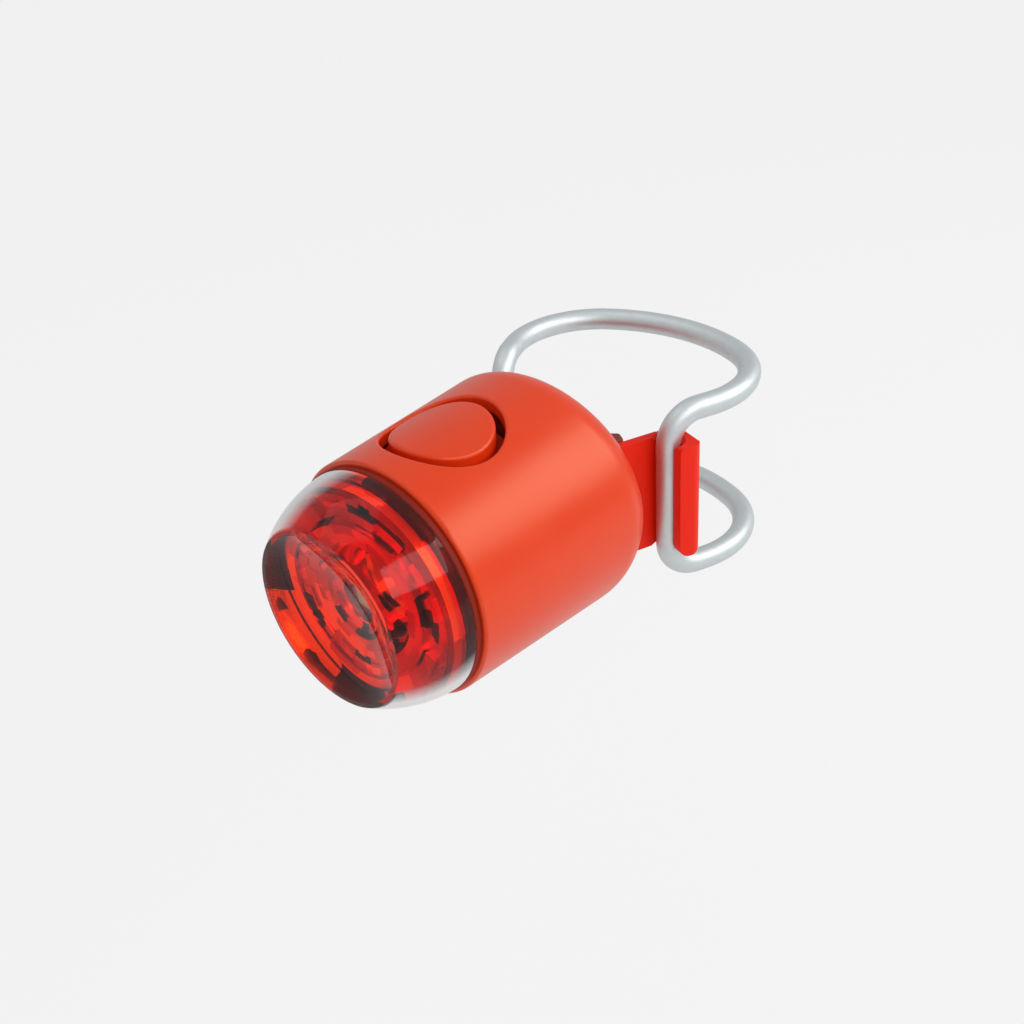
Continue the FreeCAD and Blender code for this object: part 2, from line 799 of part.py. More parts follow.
def make_flap():
    """The silicone flap over the charging socket, with the plug on its inner side."""
    inset = cover_wall
    skin = coned(rim_y, rear_y, 0.0, cover_rear_edge)
    skin = skin.cut(coned(rim_y - 1.0, housing_rear_y, inset, housing_rear_edge + skin_gap))
    body = flap_shape(0.0, 0.0, 0.0).common(skin).common(half_space(-1))
    plug_x = outer_r(socket_y) - inset + skin_gap
    plug = block(-plug_x, flap_plug_depth - plug_x,
                 socket_y - socket_width / 2, socket_y + socket_width / 2,
                 board_top + skin_gap, board_top + socket_height - skin_gap)
    return body.fuse(plug).removeSplitter()


def make_cell():
    """The battery pouch."""
    half = cell_width / 2
    z0 = tray_wall - tray_depth
    return rounded_block(-half, half, cell_y, cell_end_y, z0, z0 + cell_thickness,
                         Vector(0, 1, 0), cell_corner)


def make_foam():
    """The foam pad between the battery and the main board."""
    half = cell_width / 2 - cell_corner
    z0 = tray_wall - tray_depth + cell_thickness
    return block(-half, half, cell_y, cell_end_y, z0, z0 + foam_thickness)


def make_leads():
    """The two battery wires, from the end of the cell up to the underside of the board."""
    y0 = cell_end_y
    z0 = board_height - lead_height
    leads = []
    for x in (lead_spacing / 2, -lead_spacing / 2):
        bend_start = Vector(x, y0 + lead_run - lead_bend, z0)
        bend_end = Vector(x, y0 + lead_run, z0 + lead_bend)
        middle = Vector(x, y0 + lead_run - lead_bend + lead_bend * math.sin(math.radians(45)),
                        z0 + lead_bend * (1 - math.cos(math.radians(45))))
        path = Part.Wire([
            line(Vector(x, y0, z0), bend_start),
            arc(bend_start, middle, bend_end),
            line(bend_end, Vector(x, y0 + lead_run, board_height)),
        ])
        section = Part.Wire(Part.makeCircle(lead_diameter / 2, Vector(x, y0, z0), Vector(0, 1, 0)))
        leads.append(path.makePipeShell([section], True, False))
    print("battery lead: bend radius %.1f" % lead_bend)
    return Part.makeCompound(leads)


def make_button():
    """The silicone button cap with the flange that keeps it under the cover."""
    top = coned(rim_y, rear_y, button_sunk, cover_rear_edge)
    body = disc_z(button_r, flange_z, front_diameter, 0, button_y).common(top)
    body = body.makeFillet(button_edge, edges_round_button(body, button_r, flange_z + 1.0))
    body = body.fuse(disc_z(flange_r, flange_z, flange_z + button_flange_height, 0, button_y))
    head_r = plunger_head_diameter / 2 + plunger_fit
    body = body.cut(disc_z(head_r, flange_z - 1.0, plunger_z + plunger_fit, 0, button_y))
    return body.removeSplitter()


def make_plunger():
    """The hard plunger that carries the press down to the switch."""
    head = disc_z(plunger_head_diameter / 2, flange_z, plunger_z, 0, button_y)
    stem = disc_z(stem_r, actuator_top + press_gap, flange_z, 0, button_y)
    return head.fuse(stem).removeSplitter()


def make_plunger_seal():
    """The rubber ring round the plunger's stem, in the groove of the deck."""
    ring_r = stem_r + stem_seal_gap + plunger_seal_section / 2
    centre = Vector(0, button_y, recess_floor - deck_thickness / 2)
    return Part.makeTorus(ring_r, plunger_seal_section / 2, centre, Vector(0, 0, 1))


def make_saddle():
    """The rubber pad whose hollow rests against the seat post."""
    out = strap_inner - saddle_side_gap
    reach = math.radians(saddle_reach_deg)
    tip = Vector(post_r * math.sin(reach), -post_r * math.cos(reach), 0)
    side_y = tip.y - saddle_edge
    side_x = strap_face_x(out, side_y)
    base_x = strap_face_x(out, saddle_base_y)
    half = saddle_height / 2
    edges = polygon([
        tip,
        Vector(side_x, side_y, 0),
        Vector(base_x, saddle_base_y, 0),
        Vector(-base_x, saddle_base_y, 0),
        Vector(-side_x, side_y, 0),
        Vector(-tip.x, tip.y, 0),
    ])
    # The edge between the two tips gives way to the post's hollow
    edges[0] = arc(Vector(-tip.x, tip.y, 0), Vector(0, saddle_y, 0), tip)
    pad = Part.Face(Part.Wire(edges)).extrude(Vector(0, 0, saddle_height))
    corners = [e for e in straight_edges(pad, Vector(0, 0, 1)) if abs(e.CenterOfMass.y - side_y) < 1e-6]
    pad = pad.makeFillet(saddle_corner, corners)
    for z in (0, saddle_height):
        pad = pad.makeFillet(saddle_rounding, edges_round_saddle(pad, z, tip.y))
    pad.translate(Vector(0, 0, -half))
    return pad


def edges_round_saddle(pad, z, tip_y):
    """The pad's edges at one height, along its two sides and round its outer corners."""
    found = []
    for edge in edges_on_plane(pad, Vector(0, 0, z), Vector(0, 0, 1)):
        place = edge.discretize(3)[1]
        if saddle_base_y + 1e-6 < place.y < tip_y and math.hypot(place.x, place.y) > post_r + 1e-3:
            found.append(edge)
    return found


def rear_screw_places():
    """The heights of the two rear screws."""
    return (rear_screw_spacing / 2, -rear_screw_spacing / 2)


def make_plate():
    """The hard plate that traps the feet of the straps."""
    half_x = strap_face_x(strap_inner, plate_base_y) - saddle_side_gap
    half_z = plate_height / 2
    body = block(-half_x, half_x, plate_base_y, saddle_base_y, -half_z, half_z)
    for z in rear_screw_places():
        shank_r = rear_screw_shank / 2 + screw_gap
        body = body.cut(disc_y(shank_r, plate_base_y - 1.0, saddle_base_y + 1.0, 0, z))
        seat_y = saddle_base_y - rear_screw_head_height
        body = body.cut(disc_y(rear_screw_head / 2 + screw_gap, seat_y, saddle_base_y + 1.0, 0, z))
    return body


def make_rear_screws():
    """The two screws that hold the plate to the housing."""
    screws = []
    for z in rear_screw_places():
        one = screw(rear_screw_head / 2, rear_screw_head_height, rear_screw_shank / 2, rear_screw_length)
        one.rotate(Vector(0, 0, 0), Vector(1, 0, 0), 90)
        one.translate(Vector(0, saddle_base_y - rear_screw_head_height, z))
        screws.append(one)
    return Part.makeCompound(screws)


os.makedirs("parts", exist_ok=True)

save_lamp(make_cover(), "body_cover")
save_lamp(make_housing(), "inner_housing")
save_lamp(make_lens(), "front_lens")
save_lamp(make_lens_seal(), "lens_seal")
save_lamp(make_reflector(), "reflector")
save_lamp(make_optic(), "beam_optic")
save_lamp(block(-led_size / 2, led_size / 2, led_board_y - led_height, led_board_y,
                -led_size / 2, led_size / 2), "main_led")
save_lamp(keyed_disc(led_board_y, bulkhead_y), "led_board")
save_lamp(make_carrier(), "board_carrier")
save_lamp(make_board(), "main_board")
save_lamp(make_board_screws(), "board_screws")
save_lamp(make_chips(), "driver_chips")
inductor_y = button_y + tact_width / 2 + inductor_gap + inductor_size / 2
save_lamp(on_board(inductor_size, inductor_size, inductor_height, 0, inductor_y), "boost_inductor")
save_lamp(on_board(status_led_size, status_led_size, status_led_height,
                   board_width / 4 + chip_size, button_y), "status_led")
save_lamp(block(-connector_width / 2, connector_width / 2, bulkhead_y, bulkhead_y + connector_length,
                board_top, board_top + connector_height), "link_connector")
save_lamp(make_tact(), "tact_switch")
save_lamp(disc_z(actuator_diameter / 2, actuator_top - actuator_length, actuator_top, 0, button_y),
          "switch_actuator")
save_lamp(make_button(), "power_button")
save_lamp(make_plunger(), "button_plunger")
save_lamp(make_plunger_seal(), "plunger_seal")
save_lamp(make_socket(), "usb_socket")
save_lamp(make_flap(), "usb_flap")
save_lamp(make_cell(), "battery_cell")
save_lamp(make_foam(), "battery_foam")
save_lamp(make_leads(), "battery_leads")
save(make_saddle(), "rear_saddle")
save(make_plate(), "rear_plate")
save(make_rear_screws(), "rear_screws")
strap = make_strap()
save(strap, "right_strap")
save(mirrored(strap), "left_strap")
save(make_bail(), "wire_bail")

# The places that the joints use
print("lens rim y %.3f, rear face y %.3f" % (rim_y, rear_y))
print("bail pivot x %.3f y %.3f" % (-wire_point.x, wire_point.y))
hinge_z = flap_bottom - flap_hinge_low
hinge_x = -math.sqrt(outer_r(socket_y) ** 2 - hinge_z ** 2) + flap_hinge_in
print("flap hinge x %.3f y %.3f z %.3f" % (hinge_x, socket_y, hinge_z + lamp_rise))
print("button centre y %.3f z %.3f" % (button_y, flange_z + lamp_rise))
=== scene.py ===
import logging
import math
from dataclasses import dataclass, field
from enum import Enum
from typing import Callable, Iterable, Optional, Union

import bmesh
import bpy
from mathutils import Matrix, Vector


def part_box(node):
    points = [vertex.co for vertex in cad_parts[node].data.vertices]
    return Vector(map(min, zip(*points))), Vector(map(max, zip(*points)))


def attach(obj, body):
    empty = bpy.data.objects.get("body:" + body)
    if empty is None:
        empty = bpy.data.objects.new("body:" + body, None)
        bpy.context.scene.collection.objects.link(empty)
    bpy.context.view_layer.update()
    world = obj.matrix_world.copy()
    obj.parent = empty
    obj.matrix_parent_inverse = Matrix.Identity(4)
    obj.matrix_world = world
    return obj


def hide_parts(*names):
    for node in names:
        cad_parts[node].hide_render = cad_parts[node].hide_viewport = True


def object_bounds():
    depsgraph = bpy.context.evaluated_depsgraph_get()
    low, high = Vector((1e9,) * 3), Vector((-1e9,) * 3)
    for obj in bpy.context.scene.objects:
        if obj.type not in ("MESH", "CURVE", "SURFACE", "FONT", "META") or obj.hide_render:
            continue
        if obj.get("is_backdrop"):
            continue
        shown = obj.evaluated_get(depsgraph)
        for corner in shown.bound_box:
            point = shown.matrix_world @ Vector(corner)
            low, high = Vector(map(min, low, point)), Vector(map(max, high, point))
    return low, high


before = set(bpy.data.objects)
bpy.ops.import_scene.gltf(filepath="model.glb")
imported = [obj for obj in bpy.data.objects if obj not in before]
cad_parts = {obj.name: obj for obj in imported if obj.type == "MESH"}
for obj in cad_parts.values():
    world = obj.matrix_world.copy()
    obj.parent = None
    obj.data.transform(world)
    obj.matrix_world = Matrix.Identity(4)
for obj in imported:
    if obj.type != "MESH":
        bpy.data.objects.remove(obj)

# The looks of a bicycle tail light: its finishes, its solid lens over a red stepped core,
# the studio and the camera.

LOG = logging.getLogger("tail_light")
MM = 0.001
LAMP_AXIS_Z = 1.3 * MM
SAME_PLACE = 0.001 * MM
NOISE_MIDDLE = 0.5
BEVEL_SAMPLES = 6

Colour = tuple[float, float, float]
Place = tuple[float, float, float]
Profile = list[tuple[float, float]]


class Body(Enum):
    """The body that the modelled pieces ride on."""

    LAMP = "lamp"


class Output(Enum):
    """Where a finished shader goes."""

    MATERIAL = "ShaderNodeOutputMaterial"
    WORLD = "ShaderNodeOutputWorld"


class Spread(Enum):
    """How a finish's pattern is spread over a piece."""

    ROUND = (1.0, 1.0, 1.0)
    ALONG_LAMP = (1.0, 0.25, 1.0)
    UPRIGHT = (1.0, 1.0, 0.2)


@dataclass(frozen=True)
class Speckle:
    """A noise: how large and how fine its spots are, and which stretch of it counts as one."""

    size_mm: float
    detail: float
    roughness: float = 0.5
    low: float = 0.3
    high: float = 0.7


class Wave:
    """One socket of a shader graph, which takes part in sums as a number does."""

    def __init__(self, graph: "Graph", socket: Optional[bpy.types.NodeSocket]) -> None:
        """Keeps the graph and the socket.

        Args:
            graph: the graph that the socket is in.
            socket: the output that holds the value, or None for a node without outputs.
        """
        self.graph = graph
        self.socket = socket

    def maths(self, operation: str, *values: Union["Wave", float], clamp: bool = False) -> "Wave":
        """Adds one Math node.

        Args:
            operation: the Math node's operation.
            values: its inputs in order.
            clamp: whether the result is kept between 0 and 1.

        Returns:
            The node's result.
        """
        settings = {"operation": operation, "use_clamp": clamp}
        return self.graph.node("ShaderNodeMath", settings, dict(enumerate(values)))

    def __add__(self, other: Union["Wave", float]) -> "Wave":
        """Sum."""
        return self.maths("ADD", self, other)

    def __radd__(self, other: float) -> "Wave":
        """Sum with a number on the left."""
        return self.maths("ADD", other, self)

    def __sub__(self, other: Union["Wave", float]) -> "Wave":
        """Difference."""
        return self.maths("SUBTRACT", self, other)

    def __rsub__(self, other: float) -> "Wave":
        """Difference from a number on the left."""
        return self.maths("SUBTRACT", other, self)

    def __mul__(self, other: Union["Wave", float]) -> "Wave":
        """Product."""
        return self.maths("MULTIPLY", self, other)

    def __rmul__(self, other: float) -> "Wave":
        """Product with a number on the left."""
        return self.maths("MULTIPLY", other, self)

    def floor(self) -> "Wave":
        """The whole number below."""
        return self.maths("FLOOR", self)

    def root(self) -> "Wave":
        """Square root."""
        return self.maths("SQRT", self)

    def rising(self, low: float, high: float) -> "Wave":
        """Turns the stretch from low to high into 0 to 1, and clamps it.

        Args:
            low: the value that becomes 0.
            high: the value that becomes 1.

        Returns:
            The stretched value.
        """
        scaled = (self - low) * (1.0 / (high - low))
        return self.maths("ADD", scaled, 0.0, clamp=True)

    def spots(self, speckle: Speckle) -> "Wave":
        """A noise's spots, 0 between them and 1 inside them."""
        return self.rising(speckle.low, speckle.high)

    def swing(self, reach: float) -> "Wave":
        """A noise as a small value that swings about 0."""
        return (self - NOISE_MIDDLE) * reach


class Graph:
    """The nodes of one material or world, made through a single method."""

    def __init__(self, owner: Union[bpy.types.Material, bpy.types.World]) -> None:
        """Empties the owner's nodes.

        Args:
            owner: what the nodes belong to.
        """
        owner.use_nodes = True
        self.owner = owner
        self.tree = owner.node_tree
        self.tree.nodes.clear()

    @classmethod
    def named(cls, name: str) -> "Graph":
        """Starts a new material of that name."""
        return cls(bpy.data.materials.new(name))

    def node(self, kind: str, settings: Optional[dict] = None, inputs: Optional[dict] = None,
             output: Union[int, str] = 0) -> Wave:
        """Adds one node.

        Args:
            kind: the node's type.
            settings: the node's own properties, which are set first.
            inputs: a value or a link for each socket, by name or number.
            output: the output that the result stands for.

        Returns:
            That output, or an empty wave for a node without outputs.
        """
        made = self.tree.nodes.new(kind)
        for key, value in (settings or {}).items():
            setattr(made, key, value)
        for key, value in (inputs or {}).items():
            self.plug(made.inputs[key], value)
        return Wave(self, made.outputs[output] if made.outputs else None)

    def plug(self, socket: bpy.types.NodeSocket, value: object) -> None:
        """Links or sets one input.

        Args:
            socket: the input.
            value: a wave, a number, a colour or a vector.
        """
        if isinstance(value, Wave):
            self.tree.links.new(value.socket, socket)
        elif socket.type == "RGBA" and len(value) == 3:
            socket.default_value = (*value, 1.0)
        else:
            socket.default_value = value

    def place(self, spread: Spread = Spread.ROUND) -> Wave:
        """Object coordinates, stretched by a spread."""
        where = self.node("ShaderNodeTexCoord", output="Object")
        return self.node("ShaderNodeMapping", None, {"Vector": where, "Scale": spread.value})

    def polar(self, axis_z: float) -> tuple[Wave, Wave]:
        """Places round the lamp's axis.

        Args:
            axis_z: the height of the axis.

        Returns:
            The distance from the axis in millimetres, and the angle round it.
        """
        where = self.place()
        across = self.node("ShaderNodeSeparateXYZ", None, {"Vector": where}, "X")
        height = self.node("ShaderNodeSeparateXYZ", None, {"Vector": where}, "Z") - axis_z
        turn = self.node("ShaderNodeMath", {"operation": "ARCTAN2"}, {0: height, 1: across})
        return (across * across + height * height).root() * (1.0 / MM), turn

    def noise(self, where: Wave, speckle: Speckle) -> Wave:
        """Adds a noise.

        Args:
            where: the coordinates.
            speckle: the size of its spots and how finely they break up.

        Returns:
            The noise's plain value.
        """
        return self.node("ShaderNodeTexNoise", None, {
            "Vector": where,
            "Scale": 1.0 / (speckle.size_mm * MM),
            "Detail": speckle.detail,
            "Roughness": speckle.roughness,
        })

    def tint(self, share: Wave, low: Union[Wave, Colour], high: Union[Wave, Colour]) -> Wave:
        """A colour between two colours.

        Args:
            share: how much of the second colour there is.
            low: the first colour.
            high: the second colour.

        Returns:
            The mixed colour.
        """
        return self.node("ShaderNodeMix", {"data_type": "RGBA"}, {0: share, 6: low, 7: high}, 2)

    def backdrop_share(self, mirrored: float) -> Wave:
        """How much of the pale backdrop a ray sees.

        Args:
            mirrored: the share for rays off glossy surfaces.

        Returns:
            1 for the camera's rays and for rays through glass, 0 for the light on matt surfaces.
        """
        share = self.node("ShaderNodeLightPath", output="Is Glossy Ray") * mirrored
        for kind in ("Is Camera Ray", "Is Transmission Ray"):
            share = self.node("ShaderNodeMath", {"operation": "MAXIMUM"},
                              {0: share, 1: self.node("ShaderNodeLightPath", output=kind)})
        return share

    def relief(self, height: Wave, depth_mm: float, edge_mm: float = 0.0) -> Wave:
        """A bump, with softened edges where a radius is given.

        Args:
            height: the height pattern.
            depth_mm: how deep it is, in millimetres.
            edge_mm: the radius that sharp edges are softened to.

        Returns:
            The normal.
        """
        inputs = {"Height": height, "Distance": depth_mm * MM, "Strength": 1.0}
        if edge_mm > 0:
            inputs["Normal"] = self.node("ShaderNodeBevel", {"samples": BEVEL_SAMPLES},
                                         {"Radius": edge_mm * MM})
        return self.node("ShaderNodeBump", None, inputs)

    def surface(self, inputs: dict) -> bpy.types.Material:
        """Closes the graph with one Principled shader.

        Args:
            inputs: the shader's sockets.

        Returns:
            The finished material.
        """
        self.close(Output.MATERIAL, self.node("ShaderNodeBsdfPrincipled", None, inputs))
        return self.owner

    def close(self, output: Output, shader: Wave) -> None:
        """Links a shader to a new output node."""
        self.node(output.value, None, {"Surface": shader})

    def close_mixed(self, output: Output, share: Wave, first: Wave, second: Wave) -> None:
        """Closes the graph with a mix of two shaders.

        Args:
            output: where the mix goes.
            share: how much of the second shader there is.
            first: the first shader.
            second: the second shader.
        """
        self.close(output, self.node("ShaderNodeMixShader", None, {0: share, 1: first, 2: second}))


@dataclass(frozen=True)
class Silicone:
    """Moulded silicone or rubber: a matte skin with fine grain, a little dust and soft edges."""

    name: str
    colour: Colour
    worn: Colour
    roughness: float
    grain: Speckle = Speckle(0.12, 2.0, 0.6)
    relief_mm: float = 0.006
    edge_mm: float = 0.12
    gloss: float = 0.5
    gloss_tint: Colour = (1.0, 1.0, 1.0)
    cloud: Speckle = Speckle(9.0, 2.0, low=0.3, high=0.75)
    dust: Speckle = Speckle(0.7, 5.0, 0.7, low=0.66, high=0.78)
    cloud_wear: float = 0.35
    dust_wear: float = 0.12
    grain_wear: float = 0.08
    cloud_rough: float = 0.08
    dust_rough: float = 0.08
    grain_rough: float = 0.06

    def material(self) -> bpy.types.Material:
        """Makes the material."""
        graph = Graph.named(self.name)
        where = graph.place()
        cloud = graph.noise(where, self.cloud)
        grain = graph.noise(where, self.grain)
        dust = graph.noise(where, self.dust).spots(self.dust)
        wear = (cloud.spots(self.cloud) * self.cloud_wear + dust * self.dust_wear
                + grain * self.grain_wear)
        rough = (self.roughness + cloud.swing(self.cloud_rough) + dust * self.dust_rough
                 + grain.swing(self.grain_rough))
        return graph.surface({
            "Base Color": graph.tint(wear, self.colour, self.worn),
            "Roughness": rough,
            "Specular IOR Level": self.gloss,
            "Specular Tint": self.gloss_tint,
            "Normal": graph.relief(grain, self.relief_mm, self.edge_mm),
        })


@dataclass(frozen=True)
class ClearMoulding:
    """Clear moulded plastic with a faint flow texture, and on request a pale sheen on its side."""

    name: str
    colour: Colour
    roughness: float = 0.0
    index: float = 1.49
    gloss: float = 0.6
    flow: Speckle = Speckle(3.5, 1.0, low=0.35, high=0.7)
    flow_colour: Colour = (1.0, 1.0, 1.0)
    flow_share: float = 0.3
    ripple_mm: float = 0.001
    axis_z: float = 0.0
    sheen: float = 0.0
    sheen_colour: Colour = (0.95, 0.95, 0.95)
    sheen_roughness: float = 0.25
    sheen_turn: tuple[float, float] = (0.5, 0.72)
    sheen_from_mm: float = 0.0
    sheen_border_mm: float = 0.2

    def material(self) -> bpy.types.Material:
        """Makes the material: clear, with the sheen where its outer side turns away."""
        graph = Graph.named(self.name)
        flow = graph.noise(graph.place(Spread.ALONG_LAMP), self.flow)
        streaks = flow.spots(self.flow) * self.flow_share
        clear = graph.node("ShaderNodeBsdfPrincipled", None, {
            "Base Color": graph.tint(streaks, self.colour, self.flow_colour),
            "Roughness": self.roughness,
            "IOR": self.index,
            "Specular Tint": (self.gloss,) * 3,
            "Transmission Weight": 1.0,
            "Normal": graph.relief(flow, self.ripple_mm),
        })
        pale = graph.node("ShaderNodeBsdfGlossy", None,
                          {"Color": self.sheen_colour, "Roughness": self.sheen_roughness})
        turned_away = graph.node("ShaderNodeLayerWeight", output="Facing").rising(*self.sheen_turn)
        radius, _turn = graph.polar(self.axis_z)
        on_side = radius.rising(self.sheen_from_mm, self.sheen_from_mm + self.sheen_border_mm)
        graph.close_mixed(Output.MATERIAL, turned_away * on_side * self.sheen, clear, pale)
        return graph.owner


@dataclass(frozen=True)
class Metal:
    """Plated or drawn metal, with fine marks along its length and faint spots."""

    name: str
    colour: Colour
    spot: Colour
    roughness: float
    spread: Spread = Spread.ROUND
    marks: Speckle = Speckle(0.15, 3.0, 0.6)
    spots: Speckle = Speckle(1.6, 4.0, 0.6, 0.45, 0.8)
    mark_share: float = 0.15
    spot_share: float = 0.5
    mark_rough: float = 0.12
    spot_rough: float = 0.08
    relief_mm: float = 0.002
    edge_mm: float = 0.05

    def material(self) -> bpy.types.Material:
        """Makes the material."""
        graph = Graph.named(self.name)
        marks = graph.noise(graph.place(self.spread), self.marks)
        spots = graph.noise(graph.place(), self.spots).spots(self.spots)
        share = spots * self.spot_share + marks * self.mark_share
        return graph.surface({
            "Base Color": graph.tint(share, self.colour, self.spot),
            "Metallic": 1.0,
            "Roughness": self.roughness + marks.swing(self.mark_rough) + spots * self.spot_rough,
            "Normal": graph.relief(marks, self.relief_mm, self.edge_mm),
        })


@dataclass(frozen=True)
class FacetedMirror:
    """Red metallised plastic, whose facets round the lamp's axis are painted bright, deep or dark
    red: a painted reflection of lit and dark surroundings, with painted shade at the edge beside
    the cover.
    """

    name: str
    glancing: Colour
    bright: Colour
    deep: Colour
    dark: Colour
    axis_z: float
    # Share of dark cells, which are a painted reflection of dark surroundings
    painted_dark_share: float
    rings_mm: tuple[tuple[float, float], ...]
    edge_mm: float
    ring_guard: float = 2.0
    # Extra share of dark cells beyond edge_mm: painted shade beside the cover
    edge_painted_shade: float = 0.6
    border_mm: float = 0.05
    row_mm: float = 1.25
    row_wander: float = 0.4
    row_shift: float = 0.37
    columns: float = 14.0
    column_wander: float = 0.8
    wander: Speckle = Speckle(2.4, 2.0)
    shade_draw: float = 3.0
    shade_turn: tuple[float, float] = (0.45, 0.75)
    dark_border: float = 0.02
    roughness: float = 0.16
    shade_rough: float = 0.16
    relief_mm: float = 0.02

    def material(self) -> bpy.types.Material:
        """Makes the material."""
        graph = Graph.named(self.name)
        radius, turn = graph.polar(self.axis_z)
        wander = graph.noise(graph.place(), self.wander)
        row = (radius * (1.0 / self.row_mm) + wander * self.row_wander).floor()
        sector = turn * (self.columns / (2 * math.pi))
        column = (sector + row * self.row_shift + wander * self.column_wander).floor()
        cell = graph.node("ShaderNodeCombineXYZ", None, {"X": row, "Y": column})
        chance = graph.node("ShaderNodeTexWhiteNoise", None, {"Vector": cell}, "Value")
        shade = graph.node("ShaderNodeTexWhiteNoise", {"noise_dimensions": "4D"},
                           {"Vector": cell, "W": self.shade_draw}, "Value")
        # Painted shade: the edge beside the cover is mostly dark, where the housing's shade falls,
        # and the rings keep their painted bright and deep reflection
        shaded_edge = radius.rising(self.edge_mm, self.edge_mm + self.border_mm)
        share = self.painted_dark_share + shaded_edge * self.edge_painted_shade
        for low, high in self.rings_mm:
            beyond_low = radius.rising(low, low + self.border_mm)
            beyond_high = radius.rising(high, high + self.border_mm)
            share = share - beyond_low * (1.0 - beyond_high) * self.ring_guard
        # Painted reflection: dark cells stand for mirrored dark surroundings, bright and deep red
        # cells for lit ones
        dark = (share - chance).rising(0.0, self.dark_border)
        red = graph.tint(shade.rising(*self.shade_turn), self.bright, self.deep)
        return graph.surface({
            "Base Color": graph.tint(dark, red, self.dark),
            "Metallic": 1.0,
            "Specular Tint": self.glancing,
            "Roughness": self.roughness + shade * self.shade_rough,
            "Normal": graph.relief(wander, self.relief_mm),
        })


@dataclass(frozen=True)
class HardPlastic:
    """Hard moulded plastic with a fine spark-eroded texture."""

    name: str
    colour: Colour
    scuff: Colour
    roughness: float = 0.45
    grain: Speckle = Speckle(0.2, 2.0, 0.6)
    scuffs: Speckle = Speckle(2.2, 6.0, 0.7, 0.6, 0.78)
    grain_share: float = 0.1
    scuff_share: float = 0.4
    grain_rough: float = 0.1
    scuff_rough: float = 0.15
    relief_mm: float = 0.012
    edge_mm: float = 0.06

    def material(self) -> bpy.types.Material:
        """Makes the material."""
        graph = Graph.named(self.name)
        where = graph.place()
        grain = graph.noise(where, self.grain)
        scuffs = graph.noise(where, self.scuffs).spots(self.scuffs)
        share = scuffs * self.scuff_share + grain * self.grain_share
        return graph.surface({
            "Base Color": graph.tint(share, self.colour, self.scuff),
            "Roughness": self.roughness + scuffs * self.scuff_rough + grain.swing(self.grain_rough),
            "Normal": graph.relief(grain, self.relief_mm, self.edge_mm),
        })


@dataclass(frozen=True)
class CircuitBoard:
    """Solder mask over copper tracks, with pale legend-free pads."""

    name: str
    mask: Colour = (0.012, 0.075, 0.03)
    track: Colour = (0.03, 0.16, 0.06)
    pad: Colour = (0.72, 0.66, 0.45)
    cell_mm: float = 1.3
    wander: Speckle = Speckle(3.0, 1.0, low=0.5, high=0.56)
    track_wander: float = 0.4
    track_edge: tuple[float, float] = (0.62, 0.66)
    pad_edge: tuple[float, float] = (0.86, 0.9)
    pad_metal: float = 0.9
    roughness: float = 0.42
    track_polish: float = 0.06
    relief_mm: float = 0.03

    def material(self) -> bpy.types.Material:
        """Makes the material."""
        graph = Graph.named(self.name)
        where = graph.place()
        inputs = {"Vector": where, "Scale": 1.0 / (self.cell_mm * MM), "Randomness": 0.0}
        cells = graph.node("ShaderNodeTexVoronoi", {"distance": "MANHATTAN"}, inputs, "Distance")
        wander = graph.noise(where, self.wander)
        tracks = (cells + wander * self.track_wander).rising(*self.track_edge)
        pads = (1.0 - cells).rising(*self.pad_edge) * wander.spots(self.wander)
        board = graph.tint(tracks, self.mask, self.track)
        return graph.surface({
            "Base Color": graph.tint(pads, board, self.pad),
            "Metallic": pads * self.pad_metal,
            "Roughness": self.roughness - tracks * self.track_polish,
            "Normal": graph.relief(tracks + pads, self.relief_mm),
        })


@dataclass(frozen=True)
class CellFoil:
    """The battery pouch's pressed foil."""

    name: str
    colour: Colour = (0.72, 0.73, 0.75)
    crease: Colour = (0.4, 0.41, 0.43)
    folds: Speckle = Speckle(1.8, 4.0, 0.6, 0.4, 0.7)
    roughness: float = 0.3
    fold_rough: float = 0.2
    relief_mm: float = 0.08

    def material(self) -> bpy.types.Material:
        """Makes the material."""
        graph = Graph.named(self.name)
        folds = graph.noise(graph.place(), self.folds)
        return graph.surface({
            "Base Color": graph.tint(folds.spots(self.folds), self.colour, self.crease),
            "Metallic": 1.0,
            "Roughness": self.roughness + folds * self.fold_rough,
            "Normal": graph.relief(folds, self.relief_mm),
        })


@dataclass(frozen=True)
class Phosphor:
    """The yellow face of a light chip in its white frame."""

    name: str
    face: Colour = (0.9, 0.62, 0.12)
    frame_colour: Colour = (0.85, 0.85, 0.82)
    grain: Speckle = Speckle(0.1, 2.0, low=0.3, high=0.7)
    frame_share: float = 0.3
    roughness: float = 0.35
    grain_rough: float = 0.1
    relief_mm: float = 0.01

    def material(self) -> bpy.types.Material:
        """Makes the material."""
        graph = Graph.named(self.name)
        grain = graph.noise(graph.place(), self.grain)
        share = grain.spots(self.grain) * self.frame_share
        return graph.surface({
            "Base Color": graph.tint(share, self.face, self.frame_colour),
            "Roughness": self.roughness + grain * self.grain_rough,
            "Normal": graph.relief(grain, self.relief_mm),
        })


COVER_SILICONE = Silicone("cover silicone", (0.8, 0.038, 0.002), (0.84, 0.055, 0.008), 0.32,
                          gloss=0.7, gloss_tint=(1.0, 0.8, 0.55))
STRAP_SILICONE = Silicone("strap silicone", (0.88, 0.016, 0.002), (0.9, 0.022, 0.004), 0.45,
                          edge_mm=0.2, gloss=0.16)
# The saddle's dark red-brown is partly its own dark rubber and partly painted shade, from where it
# sits in the body's shadow
SADDLE_RUBBER = Silicone("saddle rubber", (0.2, 0.018, 0.01), (0.26, 0.035, 0.02), 0.6)
